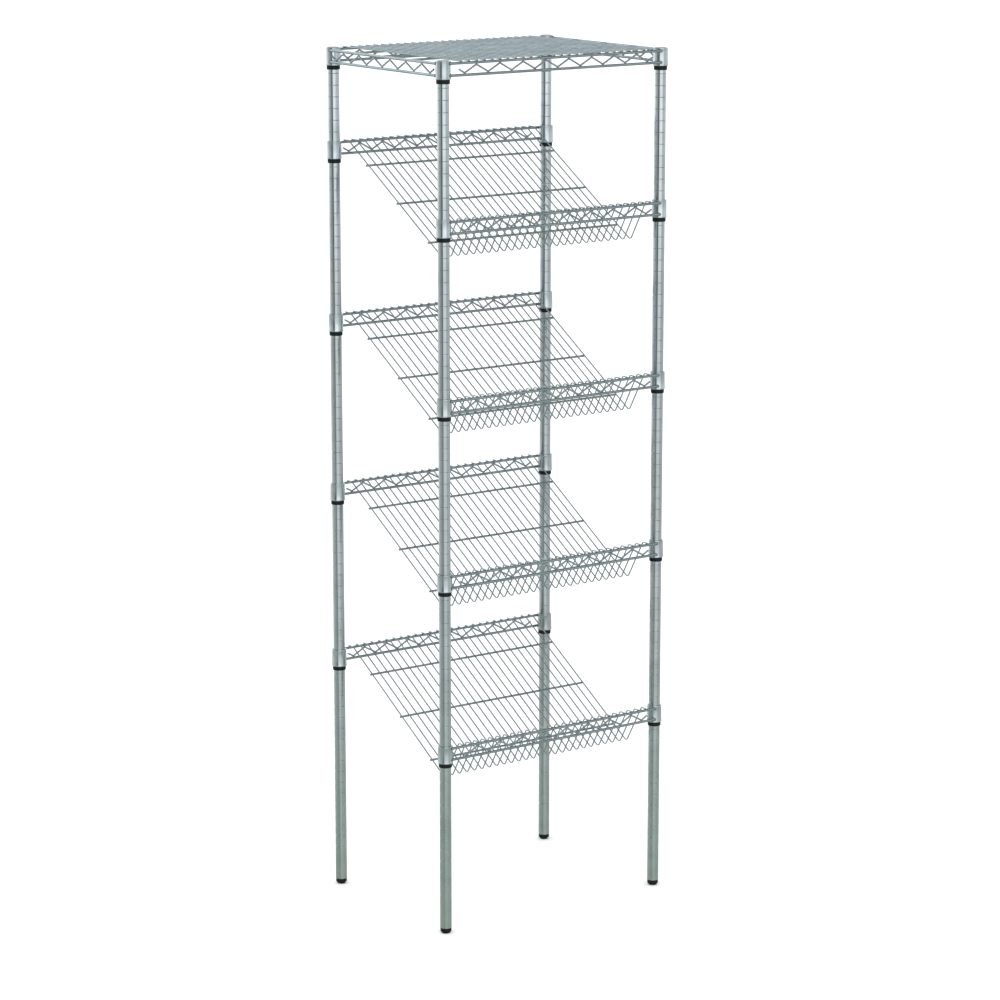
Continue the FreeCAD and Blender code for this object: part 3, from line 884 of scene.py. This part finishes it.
def addZigzag(body, side, x, y, level, alongY=False):
    # the wire of one truss, and its nuggets at the bends
    bends = sideBends if alongY else frontBends
    web = growPiece(body + "_" + side + "_web", trussZigzag, {
        **zigzag, "Bends": bends, "Turn": math.pi / 2 if alongY else 0.0,
        "Place": (x * mm, y * mm, (level + trussMiddle) * mm),
        "Material": drawnChromeWireY if alongY else drawnChromeWireX})
    dress(web, body, "truss_wire", body + "_" + side + "_zigzag")
    length, width, height = weld["zigzagNugget"]
    spots = []
    for i in range(2 * bends - 1):
        run = (i - bends + 1) * zigzagStep()
        z = level + (rack["upperRail"] - rack["railRadius"] if i % 2 else rack["lowerRail"] + rack["railRadius"])
        spots.append(((x, run, z), up, (width, length, height)) if alongY else
                     ((run, y, z), up, (length, width, height)))
    return spots


def railBeads(level, backRise, sides):
    # where the rails of each truss run into the collars, the rails at the sides only if there are any
    spots = []
    for rail in (rack["lowerRail"], rack["upperRail"]):
        radius = collarRadius(rail)
        reach = math.sqrt(radius ** 2 - rack["railOutset"] ** 2)
        stretch = (radius / reach, 1.0, 1.0)
        for sx in (-1, 1):
            for sy in (-1, 1):
                z = level + rail + (backRise if sy > 0 else 0.0)
                spots.append(((sx * (rack["postX"] - reach), sy * railY, z),
                              (-sx * reach, sy * rack["railOutset"], 0), stretch))
                if sides:
                    spots.append(((sx * railX, sy * (rack["postY"] - reach), z),
                                  (sx * rack["railOutset"], -sy * reach, 0), stretch))
    return spots


# slanted shelves

railTop = rack["upperRail"] + rack["railRadius"]
for index, level in enumerate(shelfLevels):
    body = "slanted_shelf_%d" % (index + 1)
    addCollars(body, level, rack["slantRise"])
    addDeckWires(body + "_bent_deck_wires", body, level, [backEnd, backLip, deckCorner, frontLip, frontEnd],
                 [deck["lipBend"], deck["stopBend"], deck["lipBend"]])
    nuggets, places = [], []
    for run in crossPlaces:
        middle = deckCorner + upSlope * run - offSlope * deck["crossBelow"]
        places.append((middle.y, middle.z + level))
        touch = deckCorner + upSlope * run - offSlope * (deck["wireRadius"] + deck["nuggetBelow"])
        nuggets += nuggetRow(touch.y, touch.z + level, offSlope)
    addCrossWires(body, deck["crossHalf"], places)
    for side, y, rise in (("front", -railY, 0.0), ("back", railY, rack["slantRise"])):
        nuggets += addZigzag(body, side, 0.0, y, level + rise)
        nuggets += nuggetRow(y, level + rise + railTop)
    addWelds(body, nuggets, railBeads(level, rack["slantRise"], sides=False), index)
    print(body, "made, welds:", len(nuggets))


# flat top shelf

topShelf = {
    "body": "top_shelf",
    "level": rack["topShelf"],
    "crossHalf": railX - rack["railRadius"] - rack["weldGap"],
    "weldSeed": 11,
}
body, level, crossHalf = topShelf["body"], topShelf["level"], topShelf["crossHalf"]
addCollars(body, level)
addDeckWires(body + "_straight_deck_wires", body, level,
             [(0.0, -deck["endY"], lipHeight), (0.0, deck["endY"], lipHeight)], [])
nuggets, places = [], []
for number in range(deck["crossWires"]):
    y = (number - (deck["crossWires"] - 1) / 2) * deck["topCrossStep"]
    z = level + lipHeight - deck["crossBelow"]
    places.append((y, z))
    nuggets += nuggetRow(y, level + lipHeight - deck["wireRadius"] - deck["nuggetBelow"])
    nuggets += [((sx * crossHalf, y, z), (1, 0, 0), weld["nugget"]) for sx in (-1, 1)]
addCrossWires(body, crossHalf, places)
for side, x, y in (("front", 0.0, -railY), ("back", 0.0, railY), ("left", -railX, 0.0), ("right", railX, 0.0)):
    nuggets += addZigzag(body, side, x, y, level, alongY=x != 0.0)
for y in (-railY, railY):
    nuggets += nuggetRow(y, level + railTop)
addWelds(body, nuggets, railBeads(level, 0.0, sides=True), topShelf["weldSeed"])
print("top shelf made, welds:", len(nuggets))


# finishes of the nodes that keep their own mesh

keptNodes = {                    # how their names end or begin
    "left_rails": drawnChromeWireY,
    "right_rails": drawnChromeWireY,
    "front_rails": drawnChromeWireX,
    "back_rails": drawnChromeWireX,
    "foot_stud": zincPlatedThread,
    "foot_insert": zincPlatedThread,
}
for name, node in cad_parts.items():
    for words, material in keptNodes.items():
        if name.endswith(words) or name.startswith(words):
            node.data.materials.clear()
            node.data.materials.append(material)


# studio

studio = {
    "floor": "#F4F5F5",
    "floorClouds": "#FAFAFA",
    "floorCloudScale": 0.8,
    "floorRoughness": 0.9,
    "floorHalf": 60.0,           # metres from its middle to its edge
    "backdrop": "#FFFFFF",       # what shows past the floor
    "walls": [                   # brightness that the chrome mirrors, by share of a turn from the back
        (0.00, 1.45), (0.10, 1.30), (0.15, 0.82), (0.23, 0.56), (0.28, 0.51), (0.305, 0.17), (0.350, 0.17),
        (0.378, 1.40), (0.50, 1.55), (0.545, 1.00), (0.58, 0.76), (0.67, 0.92), (0.82, 0.88), (0.90, 1.30),
        (1.00, 1.45),
    ],
    "wallTint": (0.91, 1.0, 1.04),
    # each range below is of the height of a direction, from -1 straight down to 1 straight up
    "dimRange": (-0.15, -0.09),
    "lowWalls": 0.76,            # brightness of the walls under that range
    "evenRange": (-0.13, -0.19),
    "evenTone": (0.60, 0.66, 0.686, 1.0),
    "evenShare": 0.4,            # share of that tone under its range
    "floorRange": (-0.31, -0.235),
    "floorTone": (0.38, 0.50, 0.415, 1.0),
    "wallTrace": 0.2,            # share of the walls that the mirrored floor keeps
    "ceilingRange": (0.45, 0.75),
    "ceiling": (0.18, 0.18, 0.18, 1.0),
    "skyStrength": 1.25,         # what lights the floor and the plastics
    "sunStrength": 0.5,
    "sunSpread": 60.0,           # degrees, a big soft box
    "sunFrom": (-0.35, -0.25, 1.0),
}


def studioWorld():
    # chrome mirrors a room, and everything else sees a plain bright backdrop
    world = bpy.data.worlds.new("softStudio")
    bpy.context.scene.world = world
    world.use_nodes = True
    tree = world.node_tree
    tree.nodes.clear()
    calc = mathIn(tree)
    place = addNode(tree, "ShaderNodeTexCoord").outputs["Generated"]
    parts = addNode(tree, "ShaderNodeSeparateXYZ", {0: place}).outputs
    around = calc("ARCTAN2", parts["X"], calc("MULTIPLY", parts["Y"], -1.0))
    walls = addNode(tree, "ShaderNodeValToRGB", {0: calc("MULTIPLY_ADD", around, 1 / (2 * math.pi), 0.5)})
    ramp = walls.color_ramp
    while len(ramp.elements) < len(studio["walls"]):
        ramp.elements.new(0.5)
    for element, (position, value) in zip(ramp.elements, studio["walls"]):
        element.position = position
        element.color = (*(value * tint for tint in studio["wallTint"]), 1.0)
    # downwards the walls dim, even out and pass into the floor, which keeps a trace of them
    dim = mapRange(tree, parts["Z"], studio["dimRange"], (studio["lowWalls"], 1.0))
    dimmed = addNode(tree, "ShaderNodeVectorMath", {"operation": "SCALE", 0: walls.outputs["Color"], "Scale": dim})
    evenShare = mapRange(tree, parts["Z"], studio["evenRange"], (0.0, studio["evenShare"]))
    wallShare = mapRange(tree, parts["Z"], studio["floorRange"], (studio["wallTrace"], 1.0))
    room = blend(tree, evenShare, dimmed.outputs[0], studio["evenTone"])
    room = blend(tree, wallShare, studio["floorTone"], room)
    room = blend(tree, mapRange(tree, parts["Z"], studio["ceilingRange"]), room, studio["ceiling"])
    mirrored = addNode(tree, "ShaderNodeBackground", {"Color": room})
    backdrop = addNode(tree, "ShaderNodeBackground", {
        "Color": srgb(studio["backdrop"]), "Strength": studio["skyStrength"]})
    rays = addNode(tree, "ShaderNodeLightPath").outputs
    plain = calc("MAXIMUM", rays["Is Camera Ray"], rays["Is Diffuse Ray"])
    both = addNode(tree, "ShaderNodeMixShader", {0: plain, 1: mirrored.outputs[0], 2: backdrop.outputs[0]})
    addNode(tree, "ShaderNodeOutputWorld", {"Surface": both.outputs[0]})


studioWorld()

floorMaterial, floorTree = newSurface("paleFloor", {"Roughness": studio["floorRoughness"]})
floorClouds = addNode(floorTree, "ShaderNodeTexNoise", {"Scale": studio["floorCloudScale"]}).outputs["Fac"]
floorColour = blend(floorTree, floorClouds, srgb(studio["floor"]), srgb(studio["floorClouds"]))
floorTree.links.new(floorColour, floorTree.nodes["Principled BSDF"].inputs["Base Color"])
floorMesh = bpy.data.meshes.new("studioFloor")
half = studio["floorHalf"]
floorMesh.from_pydata([(-half, -half, 0), (half, -half, 0), (half, half, 0), (-half, half, 0)], [], [(0, 1, 2, 3)])
floorMesh.materials.append(floorMaterial)
floor = addObject("studioFloor", floorMesh)
floor.visible_glossy = False

softBox = bpy.data.lights.new("softBox", "SUN")
softBox.energy = studio["sunStrength"]
softBox.angle = math.radians(studio["sunSpread"])
addObject("softBox", softBox).rotation_euler = Vector(studio["sunFrom"]).to_track_quat("Z", "Y").to_euler()
bpy.context.scene.view_settings.view_transform = "Standard"

view = {
    "place": (-4.3634, -6.1408, 2.5149),   # metres
    "turn": -0.6187,             # radians to the left of straight back, so this is to the right
    "tilt": 0.2119,              # radians downwards
    "lens": 124.54,              # mm
    "sensorWidth": 36.0,         # mm
    "clipEnd": 200.0,            # metres
}
camera = bpy.data.cameras.new("view")
camera.sensor_width = view["sensorWidth"]
camera.lens = view["lens"]
camera.clip_end = view["clipEnd"]
turn, tilt = view["turn"], view["tilt"]
forward = Vector((-math.cos(tilt) * math.sin(turn), math.cos(tilt) * math.cos(turn), -math.sin(tilt)))
viewer = addObject("view", camera)
viewer.location = view["place"]
viewer.rotation_euler = forward.to_track_quat("-Z", "Y").to_euler()
bpy.context.scene.camera = viewer
print("studio and camera set")
